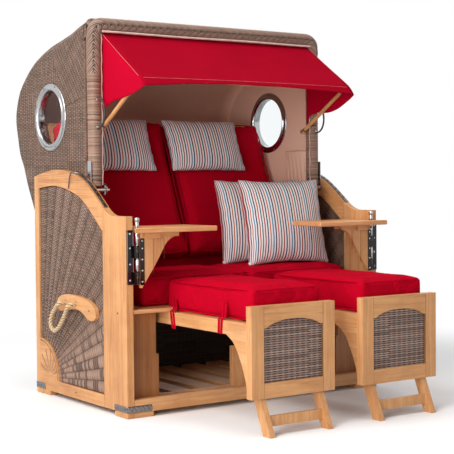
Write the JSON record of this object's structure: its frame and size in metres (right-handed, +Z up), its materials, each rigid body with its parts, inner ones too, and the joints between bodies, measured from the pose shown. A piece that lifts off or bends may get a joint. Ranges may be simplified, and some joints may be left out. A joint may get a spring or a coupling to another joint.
{
  "type": "hooded beach chair",
  "caption": "Two-seat hooded beach chair: a woven hood with round windows and a folding awning tilts in a slatted wooden base with slide-out footrests and swing tables.",
  "frame": {"origin": "bottom centre of the whole chair with its footrests drawn out, on the floor", "axes": "+X to the right hand of a viewer who stands in front, +Y towards the rear, +Z up"},
  "size_m": [1.3684, 1.6884, 1.595],
  "materials": {
    "teak": "oiled teak with visible grain",
    "wicker": "flat synthetic wicker, taupe brown",
    "dark_wicker": "fine dark brown synthetic wicker",
    "rope": "twisted natural rope",
    "chrome": "polished",
    "glass": "clear pane",
    "red_fabric": "plain woven red cloth",
    "striped_fabric": "white cloth with thin multicoloured stripes",
    "black_loop": "dark braided loop"
  },
  "bodies": {
    "base": {"carry_rope_left": "rope", "carry_rope_right": "rope", "floor_slats": "teak", "front_boards": "teak", "front_post_left": "teak", "front_post_right": "teak", "front_rail": "teak", "handle_plate_left": "teak", "handle_plate_right": "teak", "loose_pillow_back": "striped_fabric", "loose_pillow_front": "striped_fabric", "ratchet_left": "chrome", "ratchet_right": "chrome", "rear_panel": "dark_wicker", "seat_cushion_left": "red_fabric", "seat_cushion_right": "red_fabric", "seat_deck": "teak", "side_frame_left": "teak", "side_frame_right": "teak", "side_wicker_left": "wicker", "side_wicker_right": "wicker", "table_hinge_left": "chrome", "table_hinge_right": "chrome"},
    "hood": {"back_cushion_left": "red_fabric", "back_cushion_right": "red_fabric", "backrest_board": "teak", "canopy": "red_fabric", "hood_back": "wicker", "hood_handle_left": "black_loop", "hood_handle_right": "black_loop", "hood_rim": "wicker", "hood_side_left": "wicker", "hood_side_right": "wicker", "lock_holder_left": "chrome", "lock_holder_right": "chrome", "neck_pillow_left": "striped_fabric", "neck_pillow_right": "striped_fabric", "pivot_bolt_left": "chrome", "pivot_bolt_right": "chrome", "porthole_glass_left": "glass", "porthole_glass_right": "glass", "porthole_left": "chrome", "porthole_right": "chrome"},
    "awning": {"awning_frame": "teak"},
    "footrest_left": {"footrest_panel_left": "teak", "footrest_wicker_left": "dark_wicker", "footrest_tray_left": "teak", "footrest_cushion_left": "red_fabric"},
    "stand_left": {"footrest_stand_left": "teak"},
    "table_left": {"table_top_left": "teak", "table_bracket_left": "teak"},
    "lock_left": {"hood_lock_left": "chrome"},
    "footrest_right": {"footrest_panel_right": "teak", "footrest_wicker_right": "dark_wicker", "footrest_tray_right": "teak", "footrest_cushion_right": "red_fabric"},
    "stand_right": {"footrest_stand_right": "teak"},
    "table_right": {"table_top_right": "teak", "table_bracket_right": "teak"},
    "lock_right": {"hood_lock_right": "chrome"}
  },
  "joints": [
    {"name": "hood_tilt", "type": "hinge", "parent": "base", "child": "hood", "pos_m": [0, 0.28277, 0.44], "axis": [-1, 0, 0], "range_deg": [-8, 24]},
    {"name": "awning_fold", "type": "hinge", "parent": "hood", "child": "awning", "pos_m": [0, 0.14277, 1.144], "axis": [-1, 0, 0], "range_deg": [0, 45], "deforming": ["canopy"]},
    {"name": "footrest_slide_left", "type": "slide", "parent": "base", "child": "footrest_left", "axis": [0, 1, 0], "range_m": [0, 0.5], "deforming": ["footrest_cushion_left"]},
    {"name": "stand_fold_left", "type": "hinge", "parent": "footrest_left", "child": "stand_left", "pos_m": [-0.261, -0.73223, 0.205], "axis": [1, 0, 0], "range_deg": [0, 100]},
    {"name": "table_swing_left", "type": "hinge", "parent": "base", "child": "table_left", "pos_m": [-0.597, -0.24673, 0.62], "axis": [0, 0, -1], "range_deg": [0, 50]},
    {"name": "lock_pull_left", "type": "slide", "parent": "hood", "child": "lock_left", "axis": [1, 0, 0], "range_m": [0, 0.015], "stiffness_N_per_m": 150, "springref_m": -0.01},
    {"name": "footrest_slide_right", "type": "slide", "parent": "base", "child": "footrest_right", "axis": [0, 1, 0], "range_m": [0, 0.5], "deforming": ["footrest_cushion_right"]},
    {"name": "stand_fold_right", "type": "hinge", "parent": "footrest_right", "child": "stand_right", "pos_m": [0.261, -0.73223, 0.205], "axis": [1, 0, 0], "range_deg": [0, 100]},
    {"name": "table_swing_right", "type": "hinge", "parent": "base", "child": "table_right", "pos_m": [0.597, -0.24673, 0.62], "axis": [0, 0, 1], "range_deg": [0, 50]},
    {"name": "lock_pull_right", "type": "slide", "parent": "hood", "child": "lock_right", "axis": [-1, 0, 0], "range_m": [0, 0.015], "stiffness_N_per_m": 150, "springref_m": -0.01}
  ]
}
